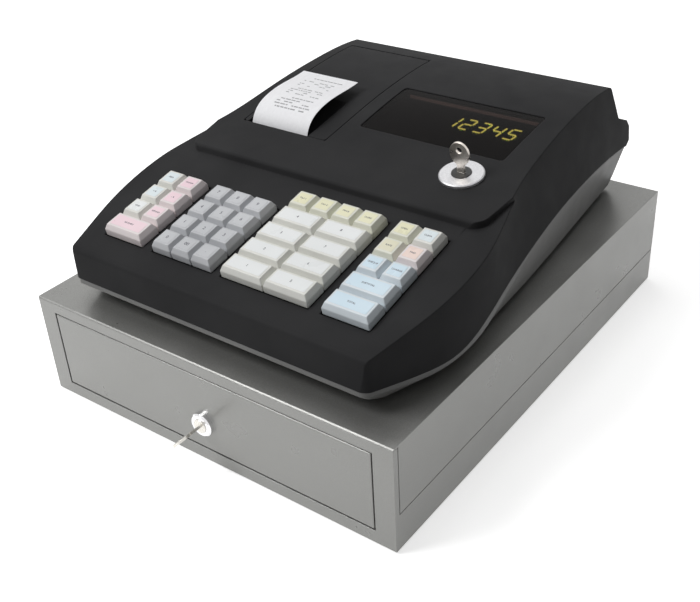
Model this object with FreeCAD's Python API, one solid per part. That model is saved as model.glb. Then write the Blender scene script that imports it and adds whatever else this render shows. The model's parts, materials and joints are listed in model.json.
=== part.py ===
import FreeCAD, Part
import math
import os

# Cash register on its steel cash drawer. Millimetres, +Z up, front towards -Y.
# Every piece is drawn with y = 0 on the cabinet's front face and is moved to
# the object's own frame, centred in plan on the resting plane, when it is kept.

os.makedirs("parts", exist_ok=True)
V = FreeCAD.Vector

# Cabinet: folded sheet steel box that the drawer slides in
cabinet_width = 330.0
cabinet_depth = 402.0
cabinet_top = 88.0
sheet = 1.2
foot_stand = 1.5
foot_radius = 9.0
foot_inset = 32.0
stile_width = 16.3
top_rail = 9.8
bottom_rail = 10.3
frame_return = 4.5
seam_height = 31.0
seam_gap = 0.8
lap_height = 7.0
opening_flange = 9.0
top_bevel = 0.9

# Drawer
panel_gap = 1.2
panel_sheet = 1.5
panel_depth = 14.0
tray_sheet = 1.0
tray_depth = 358.0
tray_floor = 15.0
tray_wall_top = 68.0
tray_side_room = 19.0
runner_low = 20.0
runner_high = 44.0
runner_reach = 3.4
runner_clearance = 0.4
runner_length = 372.0
runner_front_room = 3.0
rail_end_room = 4.0

# Till insert: four note bins behind two rows of coin cups
insert_clearance = 1.0
insert_front = 24.0
insert_depth = 292.0
insert_height = 48.0
insert_wall = 2.0
insert_columns = 4
coin_rows = 2
coin_cup_depth = 60.0
coin_scoop_radius = 22.0
bin_floor_raise = 3.0

# Drawer lock and its key
lock_height = 36.0
lock_head_radius = 9.5
lock_head_rise = 4.0
lock_head_bevel = 1.2
lock_barrel_radius = 8.0
lock_barrel_end = 17.0
lock_hole_clearance = 0.05
lock_nut_radius = 11.0
lock_nut_thick = 3.0
plug_radius = 5.5
plug_clearance = 0.05
plug_rise = 0.6
key_reach = 30.0
key_thick = 2.0
key_blade_width = 7.0
key_bow_width = 17.0
key_bow_length = 15.0
key_bow_hole = 2.6
key_turn = 45.0
cam_length = 47.0
cam_width = 9.0
cam_thick = 2.0
keeper_width = 60.0
keeper_drop = 8.0
cam_gap = 0.3

# Drawer latch at the rear of the cabinet
latch_bracket_width = 46.0
latch_bracket_height = 34.0
latch_bracket_y = 392.0
coil_radius = 6.0
coil_length = 22.0
coil_start = 8.0
coil_height = 26.0
hook_pivot_height = 13.0
hook_pivot_y = 386.0
hook_pin_radius = 2.0
hook_thick = 4.0
hook_arm = 9.0
hook_nose = 2.4
hook_front_room = 1.3
hook_rear_room = 1.1
hook_catch = 1.7
hook_play = 0.3
hook_turn = 12.0
striker_width = 14.0
striker_depth = 7.2
striker_height = 6.0
striker_wall = 1.2
buffer_radius = 5.0
buffer_gap = 0.3
buffer_x = -14.0

# Register: plan half widths (y, at the rim, at the crown) of the cover's sides
side_stations = [
    (15.0, 134.5, 134.5),
    (44.0, 144.0, 139.5),
    (73.0, 152.5, 145.5),
    (105.0, 156.5, 150.0),
    (135.0, 156.0, 149.5),
    (165.0, 154.0, 142.0),
    (194.0, 152.5, 133.5),
    (247.0, 148.5, 129.0),
    (340.0, 139.5, 126.5),
    (412.0, 133.0, 125.0),
]
rim_level = 100.0
crown_level = 190.0
cover_wall = 2.5

# Cover, side profile (y, z)
front_foot = (15.2, 107.5)
front_brow = (17.5, 131.0)
lip_foot = (151.0, 158.2)
lip_top = (152.2, 163.6)
console_line = [(207.0, 171.3), (267.0, 181.0), (310.0, 185.2), (345.0, 186.4)]
crest = (373.0, 184.4)
slope_foot = (387.0, 153.0)
ledge_top = (405.5, 144.5)
ledge_back = (411.0, 137.5)
ledge_low = (411.0, 125.0)
ledge_under = (404.5, 121.8)
rim_line = [
    (390.0, 124.0),
    (345.0, 127.6),
    (300.0, 128.4),
    (260.0, 127.2),
    (222.0, 123.7),
    (184.0, 119.2),
    (148.0, 113.4),
    (117.0, 105.6),
    (92.0, 101.0),
    (64.0, 101.8),
    (40.0, 104.2),
]
rim_opening = 30.0

# Console corner relief: where the raised console stands in from the cover's side
relief_corner_radius = 12.0
relief_half_width = 136.0
relief_tail = (139.5, 196.0)
relief_end = 200.0
relief_floor_end = 167.0
relief_outside = 175.0
brow_round = 5.0
lip_round = 2.4
crest_round = 5.0
ledge_round = 3.0
corner_round = 9.0

# Keyboard
deck_slope = math.degrees(math.atan2(lip_foot[1] - front_brow[1], lip_foot[0] - front_brow[0]))
key_front_y = 40.6
key_pitch_x = 19.27
key_pitch_y = 19.2
key_gap = 1.0
key_rise = 9.0
key_skirt_rise = 4.6
key_top_inset = 2.1
key_sink = 1.0
key_travel = 3.0
key_stem = 6.0
key_stem_clearance = 0.3
key_collar = 9.0
key_collar_thick = 1.0
key_collar_gap = 0.2
key_stem_tail = 1.0
block_gaps = (10.6, 8.6, 10.9)
well_margin = 0.8
well_depth = 4.5
well_floor = 2.0

# Key blocks: columns, then each row from the front as (name, columns wide)
key_blocks = [
    (2, [
        [("received", 2)],
        [("void", 1), ("refund", 1)],
        [("plus_percent", 1), ("minus_percent", 1)],
        [("paper_feed", 1), ("receipt_on_off", 1)],
    ]),
    (3, [
        [("0", 1), ("00", 1), ("point", 1)],
        [("1", 1), ("2", 1), ("3", 1)],
        [("4", 1), ("5", 1), ("6", 1)],
        [("7", 1), ("8", 1), ("9", 1)],
    ]),
    (4, [
        [("department_1", 2), ("department_5", 2)],
        [("department_2", 2), ("department_6", 2)],
        [("department_3", 2), ("department_7", 2)],
        [("department_4", 2), ("department_8", 2)],
        [("tax_1", 1), ("tax_2", 1), ("price_look_up", 1), ("clerk", 1)],
    ]),
    (2, [
        [("cash_total", 2)],
        [("subtotal", 2)],
        [("cheque", 1), ("charge", 1)],
        [("currency", 1), ("paid_out", 1)],
        [("no_sale", 1), ("clear", 1)],
    ]),
]

# Keyboard board and its dome sheet, below the stems of the keys
dome_room = 0.2
dome_sheet_thick = 1.0
board_thick = 1.6
keyboard_half = 119.0
keyboard_rear = 104.0
post_width = 5.0
post_rows = (14.0, 66.0)

# Base tub under the cover
tub_wall = 2.5
tub_floor_level = 91.0
tub_rim_inset = 1.0
tub_band = 4.2
tub_hull_top = 135.0
tub_foot_inset = 9.5
tub_rim_gap = 0.4
tub_front_rim = (15.4, 103.2)
tub_front_foot = (37.0, 91.0)
tub_rear_foot = (386.0, 91.0)
tub_rear_knee = (393.0, 99.0)
tub_foot_radius = 8.0
tub_foot_spots = ((108.0, 62.0), (100.0, 360.0))
screw_post_width = 8.0
screw_post_spots = ((126.0, 50.0), (112.0, 372.0))
screw_post_level = 103.0

# Printer cover: a lid in the left half of the console, hinged at its rear
paper_x = -81.3
paper_width = 57.5
paper_thick = 0.25
lid_left = -117.0
lid_right = -33.0
lid_front = 198.5
lid_rear = 350.0
lid_gap = 0.6
lid_rear_gap = 1.8
lid_ledge = 3.0
lid_ledge_thick = 2.0
lid_seat = 0.2
lid_hinge = (346.5, 182.6)
lid_pin_radius = 1.8
lid_pin_clearance = 0.08
lid_pin_length = 4.0
lid_lug_width = 5.0
lid_lug_depth = 6.5
lid_lug_drop = 3.2
throat_side = 2.5
throat_depth = 56.0
throat_front_level = 163.0
throat_rear_level = 179.6
throat_slot = 4.5
throat_wall = 2.2
lid_corner = 2.5
lid_hole_corner = 1.2
lid_plate_low = 130.0

# Display window and mode lock in the right half of the console
window_left = -19.0
window_right = 110.0
window_front = 226.0
window_rear = 293.0
window_corner = 3.0
window_thick = 2.0
window_recess = 0.5
window_gap = 0.2
window_seat = 2.5
rear_window_left = -20.0
rear_window_right = 80.0
rear_window_low = 162.5
rear_window_high = 178.5
mode_lock_x = 92.0
mode_lock_y = 198.5
mode_ring_radius = 17.0
mode_ring_rise = 2.8
mode_ring_seat = 0.15
mode_ring_bevel = 0.8
mode_barrel_radius = 11.0
mode_barrel_length = 26.0
mode_plug_radius = 7.5
mode_nut_radius = 15.0
mode_nut_thick = 4.0
mode_key_rise = 25.0
mode_key_thick = 2.0
mode_key_bow_width = 16.0
mode_key_bow_length = 19.0
mode_key_blade_width = 6.0

# Receipt printer, paper roll and receipt
printer_half_width = 33.0
printer_plate = 2.0
printer_front = 188.0
printer_rear = 256.0
printer_low = 100.0
printer_high = 158.0
platen_y = 207.0
platen_z = 147.5
platen_radius = 6.0
platen_half = 30.0
platen_shaft_radius = 2.0
shaft_clearance = 0.06
platen_gear_radius = 9.0
platen_gear_teeth = 20
platen_gear_width = 4.0
head_width = 24.0
motor_radius = 10.0
roll_y = 290.0
roll_z = 141.0
roll_radius = 27.0
roll_core_radius = 6.2
spindle_radius = 6.0
spindle_arm_width = 14.0
receipt_low = (200.3, 158.5)
receipt_foot = (200.3, 167.5)
receipt_line = [(203.4, 174.6), (210.5, 181.0), (222.0, 185.4), (240.0, 187.9)]
receipt_tail = (271.0, 189.6)

# Main board with its transformer, and the display boards
main_board_level = 100.0
main_board_box = (-28.0, 118.0, 232.0, 362.0)
transformer_box = (52.0, 104.0, 306.0, 350.0)
transformer_height = 42.0
tube_drop = 5.0
tube_thick = 7.0
tube_margin = 9.0
display_board_margin = 9.0
rear_tube_margin = 3.0
rear_board_margin = 7.0
standoff_width = 6.0

front_y = key_reach - (key_reach + ledge_low[0]) / 2.0


# Plain solids

def box(x0, x1, y0, y1, z0, z1):
    return Part.makeBox(x1 - x0, y1 - y0, z1 - z0, V(x0, y0, z0))


def rod(radius, length, base, direction):
    return Part.makeCylinder(radius, length, base, direction)


def fused(shapes):
    whole = shapes[0]
    for shape in shapes[1:]:
        whole = whole.fuse(shape)
    return whole


def joined(shapes):
    """Fused shapes with their split faces merged."""
    return fused(shapes).removeSplitter()


def pair(shape):
    """The shape and its mirror image on the other side of the centre plane."""
    return [shape, shape.mirror(V(0, 0, 0), V(1, 0, 0))]


def prism_x(points, x0, x1):
    """A closed outline in the YZ plane, drawn through x0 to x1."""
    corners = [V(x0, y, z) for y, z in points]
    wire = Part.makePolygon(corners + corners[:1])
    return Part.Face(wire).extrude(V(x1 - x0, 0, 0))


def rounded_plate(x0, x1, y0, y1, z0, z1, radius):
    plate = box(x0, x1, y0, y1, z0, z1)
    upright = [e for e in plate.Edges if abs(e.tangentAt(e.FirstParameter).z) > 0.99]
    return plate.makeFillet(radius, upright)


def round_edges(shape, radius, choose):
    edges = [e for e in shape.Edges if choose(e)]
    return shape.makeFillet(radius, edges)


def hexagon(radius, thick, base, direction):
    """A nut blank standing on base along direction, radius to its corners."""
    corners = []
    for step in range(6):
        angle = math.radians(60.0 * step)
        corners.append(V(radius * math.cos(angle), radius * math.sin(angle), 0))
    blank = Part.Face(Part.makePolygon(corners + corners[:1])).extrude(V(0, 0, thick))
    turn = FreeCAD.Rotation(V(0, 0, 1), direction)
    blank.Placement = FreeCAD.Placement(base, turn)
    return blank


def keep(name, solids):
    """Move the solids of one node to the object's frame and write them."""
    group = solids if isinstance(solids, list) else [solids]
    shape = Part.makeCompound(group) if len(group) > 1 else group[0]
    placed = shape.copy()
    placed.translate(V(0, front_y, 0))
    placed.exportStep("parts/" + name + ".step")


# Cabinet

half_width = cabinet_width / 2.0
opening_half = half_width - stile_width
opening_low = foot_stand + bottom_rail
opening_high = cabinet_top - top_rail
tray_half = half_width - sheet - tray_side_room
floor_top = foot_stand + sheet


def foot_spots():
    xs = (-half_width + foot_inset, half_width - foot_inset)
    ys = (foot_inset, cabinet_depth - foot_inset)
    return [(x, y) for x in xs for y in ys]


def tub_foot_places():
    return [(side * x, y) for x, y in tub_foot_spots for side in (-1, 1)]


def rubber_feet():
    feet = []
    for x, y in foot_spots():
        feet.append(rod(foot_radius, foot_stand, V(x, y, 0), V(0, 0, 1)))
    for x, y in tub_foot_places():
        stand = tub_floor_level - cabinet_top
        feet.append(rod(tub_foot_radius, stand, V(x, y, cabinet_top), V(0, 0, 1)))
    return feet


def runner(side):
    """Channel along one side that the drawer's rail runs in, on its own leg."""
    web = tray_half + runner_reach + runner_clearance
    y0 = panel_depth + runner_front_room
    y1 = y0 + runner_length
    leg = box(web, web + sheet, y0, y1, foot_stand, runner_high + sheet)
    shelf = box(tray_half + 1.0, web + sheet, y0, y1, runner_low - sheet, runner_low)
    guard = box(tray_half + 1.0, web + sheet, y0, y1, runner_high, runner_high + sheet)
    channel = joined([leg, shelf, guard])
    return channel if side > 0 else channel.mirror(V(0, 0, 0), V(1, 0, 0))


def cabinet_chassis():
    lower = box(-half_width, half_width, 0, cabinet_depth, foot_stand, seam_height)
    hollow = box(-half_width + sheet, half_width - sheet, sheet, cabinet_depth - sheet,
                 floor_top, cabinet_top)
    frame_top = cabinet_top - sheet - 0.2
    frame = box(-half_width, half_width, 0, frame_return, foot_stand, frame_top)
    shell = joined([lower, frame]).cut(hollow)
    surround = box(-opening_half - sheet, opening_half + sheet, 0, opening_flange,
                   opening_low - sheet, opening_high + sheet)
    opening = box(-opening_half, opening_half, -1.0, opening_flange + 1.0,
                  opening_low, opening_high)
    return joined([shell, surround, runner(1), runner(-1)]).cut(opening)


def cabinet_cover():
    back = cabinet_depth
    low = seam_height + seam_gap
    front = frame_return + seam_gap
    block = box(-half_width, half_width, 0, back, low, cabinet_top)
    hollow = box(-half_width + sheet, half_width - sheet, front - 1.0, back - sheet,
                 low - 1.0, cabinet_top - sheet)
    nose = box(-half_width - 1, half_width + 1, -1, front, low - 1.0, cabinet_top - sheet)
    cover = block.cut(hollow).cut(nose)
    cover = cover.makeChamfer(top_bevel, [
        e for e in cover.Edges
        if abs(e.CenterOfMass.z - cabinet_top) < 0.01 and e.CenterOfMass.y < 0.01])
    inner = half_width - sheet
    lap = box(inner - sheet, inner, front, back - sheet, seam_height - lap_height, low + lap_height)
    rear_lap = box(-inner, inner, back - 2 * sheet, back - sheet, seam_height - lap_height,
                   low + lap_height)
    keeper_y = lock_barrel_end - cam_gap - sheet
    keeper = box(-keeper_width / 2.0, keeper_width / 2.0, keeper_y, keeper_y + sheet,
                 cabinet_top - keeper_drop, cabinet_top - sheet / 2.0)
    return joined([cover, rear_lap, keeper] + pair(lap))


# Drawer

panel_half = opening_half - panel_gap
panel_low = opening_low + panel_gap
panel_high = opening_high - panel_gap
tray_front = panel_depth
tray_rear = tray_front + tray_depth


def lock_hole(y0, y1):
    return rod(lock_barrel_radius + lock_hole_clearance, y1 - y0,
               V(0, y0, lock_height), V(0, 1, 0))


def drawer_front():
    pan = box(-panel_half, panel_half, 0, panel_depth, panel_low, panel_high)
    pan = round_edges(pan, 0.8, lambda e: e.CenterOfMass.y < 0.01)
    hollow = box(-panel_half + panel_sheet, panel_half - panel_sheet, panel_sheet, panel_depth + 1,
                 panel_low + panel_sheet, panel_high - panel_sheet)
    return pan.cut(hollow).cut(lock_hole(-1.0, panel_depth))


def drawer_tray():
    block = box(-tray_half, tray_half, tray_front, tray_rear, tray_floor, tray_wall_top)
    hollow = box(-tray_half + tray_sheet, tray_half - tray_sheet, tray_front + tray_sheet,
                 tray_rear - tray_sheet, tray_floor + tray_sheet, tray_wall_top + 1.0)
    rail = box(tray_half, tray_half + runner_reach, tray_front + rail_end_room,
               tray_rear - rail_end_room, runner_low + runner_clearance,
               runner_high - runner_clearance)
    rail_hollow = box(tray_half + tray_sheet, tray_half + runner_reach + 1.0,
                      tray_front, tray_rear,
                      runner_low + runner_clearance + tray_sheet,
                      runner_high - runner_clearance - tray_sheet)
    body = joined([block.cut(hollow)] + pair(rail.cut(rail_hollow)))
    body = body.cut(lock_hole(tray_front - 1.0, tray_front + tray_sheet + 1.0))
    return [body, striker()]


insert_half = tray_half - tray_sheet - insert_clearance
insert_floor = tray_floor + tray_sheet
insert_top = insert_floor + insert_height
cell_width = (2 * insert_half - (insert_columns + 1) * insert_wall) / insert_columns
bin_front = insert_front + insert_wall + coin_rows * (coin_cup_depth + insert_wall)
bin_rear = insert_front + insert_depth - insert_wall


def cell_left(column):
    return -insert_half + insert_wall + column * (cell_width + insert_wall)


def coin_cup(column, row):
    """One coin cup, its floor curving up at the front so that coins slide out."""
    x0 = cell_left(column)
    y0 = insert_front + insert_wall + row * (coin_cup_depth + insert_wall)
    y1 = y0 + coin_cup_depth
    z0 = insert_floor + insert_wall
    cup = box(x0, x0 + cell_width, y0, y1, z0, insert_top + 1.0)
    return round_edges(cup, coin_scoop_radius,
                       lambda e: abs(e.CenterOfMass.z - z0) < 0.01
                       and abs(e.tangentAt(e.FirstParameter).x) > 0.99)


def till_insert():
    block = box(-insert_half, insert_half, insert_front, insert_front + insert_depth,
                insert_floor, insert_top)
    for column in range(insert_columns):
        for row in range(coin_rows):
            block = block.cut(coin_cup(column, row))
        x0 = cell_left(column)
        well = box(x0, x0 + cell_width, bin_front, bin_rear,
                   insert_floor + insert_wall + bin_floor_raise, insert_top + 1.0)
        block = block.cut(well)
    return block


# Drawer lock and key

def drawer_lock():
    head = rod(lock_head_radius, lock_head_rise, V(0, -lock_head_rise, lock_height), V(0, 1, 0))
    head = head.makeChamfer(lock_head_bevel, [
        e for e in head.Edges if abs(e.CenterOfMass.y + lock_head_rise) < 0.01])
    barrel = rod(lock_barrel_radius, lock_barrel_end, V(0, 0, lock_height), V(0, 1, 0))
    nut = hexagon(lock_nut_radius, lock_nut_thick, V(0, panel_sheet, lock_height), V(0, 1, 0))
    bore = rod(plug_radius + plug_clearance, lock_barrel_end + lock_head_rise + 2.0,
               V(0, -lock_head_rise - 1.0, lock_height), V(0, 1, 0))
    return joined([head, barrel, nut]).cut(bore)


def flat_key(blade_width, bow_width, bow_length, reach, thick, hole):
    """A flat key pointing along +Z from its plug's face, its plane in XZ."""
    blade = box(-blade_width / 2.0, blade_width / 2.0, -thick / 2.0, thick / 2.0,
                -3.0, reach - bow_length / 2.0)
    bow = Part.makeCylinder(bow_width / 2.0, thick, V(0, -thick / 2.0, 0), V(0, 1, 0))
    stretch = FreeCAD.Matrix()
    stretch.A33 = bow_length / bow_width
    bow = bow.transformGeometry(stretch)
    bow.translate(V(0, 0, reach - bow_length / 2.0))
    eye = rod(hole, thick + 2.0, V(0, -thick / 2.0 - 1.0, reach - bow_length / 3.0), V(0, 1, 0))
    return joined([blade, bow]).cut(eye)


def drawer_key():
    """Plug, cam and key, which turn as one."""
    face = -lock_head_rise - plug_rise
    plug = rod(plug_radius, lock_barrel_end - face, V(0, face, lock_height), V(0, 1, 0))
    cam = box(-cam_width / 2.0, cam_width / 2.0, lock_barrel_end, lock_barrel_end + cam_thick,
              lock_height - plug_radius, lock_height + cam_length)
    cam.rotate(V(0, 0, lock_height), V(0, 1, 0), key_turn)
    key = flat_key(key_blade_width, key_bow_width, key_bow_length, key_reach + face,
                   key_thick, key_bow_hole)
    key.rotate(V(0, 0, 0), V(1, 0, 0), 90.0)
    key.translate(V(0, face, lock_height))
    key.rotate(V(0, 0, lock_height), V(0, 1, 0), -key_turn)
    return joined([plug, cam, key])


# Latch at the rear

slot_front = tray_rear + striker_wall
slot_rear = slot_front + hook_front_room + hook_nose + hook_rear_room


def striker():
    """Lug welded on the drawer's rear wall, with the slot that the latch hook rises into."""
    half = striker_width / 2.0
    lug = box(-half, half, tray_rear, tray_rear + striker_depth,
              tray_floor, tray_floor + striker_height)
    slot = box(-half / 2.0, half / 2.0, slot_front, slot_rear,
               tray_floor - 1.0, tray_floor + striker_height + 1.0)
    return lug.cut(slot)


def drawer_latch():
    """Bracket with the hook's pin, the release coil and the drawer's buffer."""
    half = latch_bracket_width / 2.0
    top = floor_top + latch_bracket_height
    wall = box(-half, half, latch_bracket_y, latch_bracket_y + sheet, floor_top, top)
    foot = box(-half, half, hook_pivot_y - 6.0, latch_bracket_y, floor_top, floor_top + sheet)
    inner = hook_thick / 2.0 + hook_play
    ear = box(inner, inner + sheet, hook_pivot_y - 4.0, latch_bracket_y, floor_top,
              hook_pivot_height + 4.0)
    pin = rod(hook_pin_radius, 2 * (inner + sheet),
              V(-inner - sheet, hook_pivot_y, hook_pivot_height), V(1, 0, 0))
    buffer_front = tray_rear + buffer_gap
    buffer = rod(buffer_radius, latch_bracket_y - buffer_front,
                 V(buffer_x, buffer_front, coil_height), V(0, 1, 0))
    coil = rod(coil_radius, coil_length,
               V(coil_start, latch_bracket_y - coil_radius, coil_height), V(1, 0, 0))
    return [joined([wall, foot, pin, buffer] + pair(ear)), coil]


def latch_hook():
    """Lever on the pin, drawn released: its nose just below the striker's slot."""
    half = hook_thick / 2.0
    nose_front = slot_front + hook_front_room
    nose_rear = nose_front + hook_nose
    low = hook_pivot_height - 3.5
    high = hook_pivot_height + 1.0
    nose_top = tray_floor + hook_catch
    tail_rear = hook_pivot_y + 3.5
    tail_top = hook_pivot_height + hook_arm
    outline = [(nose_front, low), (tail_rear, low), (tail_rear, tail_top),
               (hook_pivot_y - 2.0, tail_top), (hook_pivot_y - 2.0, high + 2.5),
               (hook_pivot_y - 4.0, high), (nose_rear, high), (nose_rear, nose_top),
               (nose_front, nose_top)]
    bore = rod(hook_pin_radius + shaft_clearance, hook_thick + 2.0,
               V(-half - 1.0, hook_pivot_y, hook_pivot_height), V(1, 0, 0))
    hook = prism_x(outline, -half, half).cut(bore)
    hook.rotate(V(0, hook_pivot_y, hook_pivot_height), V(1, 0, 0), hook_turn)
    return hook


# Register cover and tub forms

def side_outline(widths, rows, inset, level):
    """Closed plan outline through the stations, pulled in by inset all round."""
    first = rows[0] + inset
    last = rows[-1] - inset
    ys = [first] + list(rows[1:-1]) + [last]
    right = [V(w - inset, y, level) for w, y in zip(widths, ys)]
    left = [V(-p.x, p.y, level) for p in reversed(right)]
    sides = []
    for points in (right, left):
        curve = Part.BSplineCurve()
        curve.interpolate(points)
        sides.append(curve.toShape())
    rear = Part.makeLine(right[-1], left[0])
    front = Part.makeLine(left[-1], right[0])
    return Part.Wire([sides[0], rear, sides[1], front])


station_rows = [row[0] for row in side_stations]
rim_widths = [row[1] for row in side_stations]
crown_widths = [row[2] for row in side_stations]


def pulled_in(points, inset):
    """A closed outline of (y, z) points moved inward by inset, corners mitred."""
    moved = []
    count = len(points)
    for i in range(count):
        before = points[i - 1]
        here = points[i]
        after = points[(i + 1) % count]
        in_angle = math.atan2(here[1] - before[1], here[0] - before[0])
        out_angle = math.atan2(after[1] - here[1], after[0] - here[0])
        half_turn = (out_angle - in_angle) / 2.0
        half_turn = math.atan2(math.sin(half_turn), math.cos(half_turn))
        mitre = inset / math.cos(half_turn)
        normal = in_angle + half_turn - math.pi / 2.0
        moved.append((here[0] + mitre * math.cos(normal), here[1] + mitre * math.sin(normal)))
    return moved


def mixed_wire(points, smooth_runs, x):
    """Closed wire in the plane at x: splines along the smooth runs, lines elsewhere."""
    corners = [V(x, y, z) for y, z in points]
    corners.append(corners[0])
    edges = []
    i = 0
    while i < len(points):
        run = [last for first, last in smooth_runs if first == i]
        if run:
            curve = Part.BSplineCurve()
            curve.interpolate(corners[i:run[0] + 1])
            edges.append(curve.toShape())
            i = run[0]
        else:
            edges.append(Part.makeLine(corners[i], corners[i + 1]))
            i += 1
    return Part.Wire(edges)


def cover_profile(inset, open_below, x):
    """Side view of the cover, offset inward by inset, its rim let down by open_below."""
    points = [front_foot, front_brow, lip_foot, lip_top] + console_line
    points += [crest, slope_foot, ledge_top, ledge_back, ledge_low, ledge_under] + rim_line
    top_run = (3, 4 + len(console_line))
    rim_start = len(points) - len(rim_line) - 1
    if inset:
        points = pulled_in(points, inset)
    lowered = []
    for i, (y, z) in enumerate(points):
        on_rim = i == 0 or i >= rim_start
        lowered.append((y, z - open_below) if on_rim else (y, z))
    return Part.Face(mixed_wire(lowered, [top_run, (rim_start, len(points))], x))


def reliefs(inset):
    """Cutters that leave the console standing in from the cover's sides."""
    half = relief_half_width - inset
    radius = relief_corner_radius
    centre = V(half - radius, lip_foot[0] + inset + radius, 0)
    start = V(centre.x, centre.y - radius, 0)
    middle = centre + V(radius * math.sin(math.radians(45)), -radius * math.cos(math.radians(45)), 0)
    end = V(half, centre.y, 0)
    tail = V(relief_tail[0] - inset, relief_tail[1], 0)
    last = V(tail.x + 2.0, relief_end, 0)
    far = V(relief_outside, relief_end, 0)
    near = V(relief_outside, lip_foot[0] - 8.0, 0)
    back = V(start.x, lip_foot[0] - 8.0, 0)
    edges = [Part.Arc(start, middle, end).toShape()]
    corners = [end, tail, last, far, near, back, start]
    edges += [Part.makeLine(a, b) for a, b in zip(corners, corners[1:])]
    plan = Part.Face(Part.Wire(edges)).extrude(V(0, 0, crown_level + 20.0))
    drop = inset
    above = prism_x([
        (lip_foot[0] - 10.0, crown_level + 10.0),
        (lip_foot[0] - 10.0, lip_foot[1] - drop - 10.0 * math.tan(math.radians(deck_slope))),
        (lip_foot[0] + 4.0, lip_foot[1] - drop + 0.4),
        (relief_end + 1.0, relief_floor_end - drop),
        (relief_end + 1.0, crown_level + 10.0),
    ], 0, relief_outside + 5.0)
    return pair(plan.common(above))


def drafted_hull(low_widths, high_widths, low_level, high_level, inset):
    """A block between two plans, its front corners rounded."""
    low = side_outline(low_widths, station_rows, inset, low_level)
    high = side_outline(high_widths, station_rows, inset, high_level)
    hull = Part.makeLoft([low, high], True, True)
    front = station_rows[0] + inset
    corners = [e for e in hull.Edges
               if abs(e.CenterOfMass.y - front) < 0.01 and abs(e.CenterOfMass.x) > 1.0]
    return hull.makeFillet(corner_round - inset, corners)


def cover_hull(inset):
    """The cover's plan, drafted inward from the rim to the crown."""
    return drafted_hull(rim_widths, crown_widths, rim_level, crown_level, inset)


def cover_block(inset, open_below):
    """The cover's side profile, drawn across more than its width."""
    profile = cover_profile(inset, open_below, -relief_outside)
    return profile.extrude(V(2 * relief_outside, 0, 0))


def cover_form(inset, open_below=0.0):
    """The cover as a closed solid, every face pulled in by inset."""
    form = cover_hull(inset).common(cover_block(inset, open_below))
    return form.cut(reliefs(inset))


def edges_through(shape, point):
    """Edges across the block that pass through a (y, z) point of its profile."""
    return [e for e in shape.Edges
            if e.Length > relief_outside and abs(e.CenterOfMass.y - point[0]) < 0.01
            and abs(e.CenterOfMass.z - point[1]) < 0.01]


def rounded_form():
    """The cover's outside, with its corners and the creases across it rounded."""
    block = cover_block(0.0, 0.0)
    for point, radius in ((front_brow, brow_round), (lip_top, lip_round), (crest, crest_round),
                          (slope_foot, ledge_round), (ledge_top, ledge_round)):
        block = block.makeFillet(radius, edges_through(block, point))
    return cover_hull(0.0).common(block).cut(reliefs(0.0))


def skin(outside, inside):
    """The cover's skin between two insets, open at the rim."""
    return cover_form(outside).cut(cover_form(inside, rim_opening))


console_curve = Part.BSplineCurve()
console_curve.interpolate([V(0, y, z) for y, z in [lip_top] + console_line + [crest]])


def console_at(y):
    """Height and slope in degrees of the console's top above y."""
    low = console_curve.FirstParameter
    high = console_curve.LastParameter
    for step in range(40):
        middle = (low + high) / 2.0
        if console_curve.value(middle).y < y:
            low = middle
        else:
            high = middle
    along = console_curve.tangent(low)[0]
    return console_curve.value(low).z, math.degrees(math.atan2(along.z, along.y))


def seated(shape, y, z, slope):
    """Turn a piece drawn level at the origin to a slope and seat it at (y, z)."""
    piece = shape.copy()
    piece.rotate(V(0, 0, 0), V(1, 0, 0), slope)
    piece.translate(V(0, y, z))
    return piece


# Keyboard

def on_deck(shape):
    height = front_brow[1] + (key_front_y - front_brow[0]) * math.tan(math.radians(deck_slope))
    return seated(shape, key_front_y, height, deck_slope)


def block_left(index):
    widths = [columns * key_pitch_x for columns, rows in key_blocks]
    total = sum(widths) + sum(block_gaps)
    return -total / 2.0 + sum(widths[:index]) + sum(block_gaps[:index])


def key_places():
    """Name, left edge, front edge and width in columns of every key."""
    places = []
    for index, (columns, rows) in enumerate(key_blocks):
        for row, keys in enumerate(rows):
            column = 0
            for name, wide in keys:
                places.append((name, block_left(index) + column * key_pitch_x,
                               row * key_pitch_y, wide))
                column += wide
    return places


def stem_spots(left, front, wide):
    return [(left + (i + 0.5) * key_pitch_x, front + key_pitch_y / 2.0) for i in range(wide)]


collar_top = -well_depth - well_floor - key_collar_gap
stem_low = collar_top - key_collar_thick - key_stem_tail
dome_top = stem_low - key_travel - dome_room
board_top = dome_top - dome_sheet_thick


def square_post(spot, width, low, high):
    half = width / 2.0
    return box(spot[0] - half, spot[0] + half, spot[1] - half, spot[1] + half, low, high)


def tapered_block(base, top):
    """A solid with flat sides between two four-cornered outlines."""
    rings = [base[::-1], top]
    for i in range(4):
        after = (i + 1) % 4
        rings.append([base[i], base[after], top[after], top[i]])
    faces = [Part.Face(Part.makePolygon(ring + ring[:1])) for ring in rings]
    return Part.Solid(Part.Shell(faces))


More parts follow.
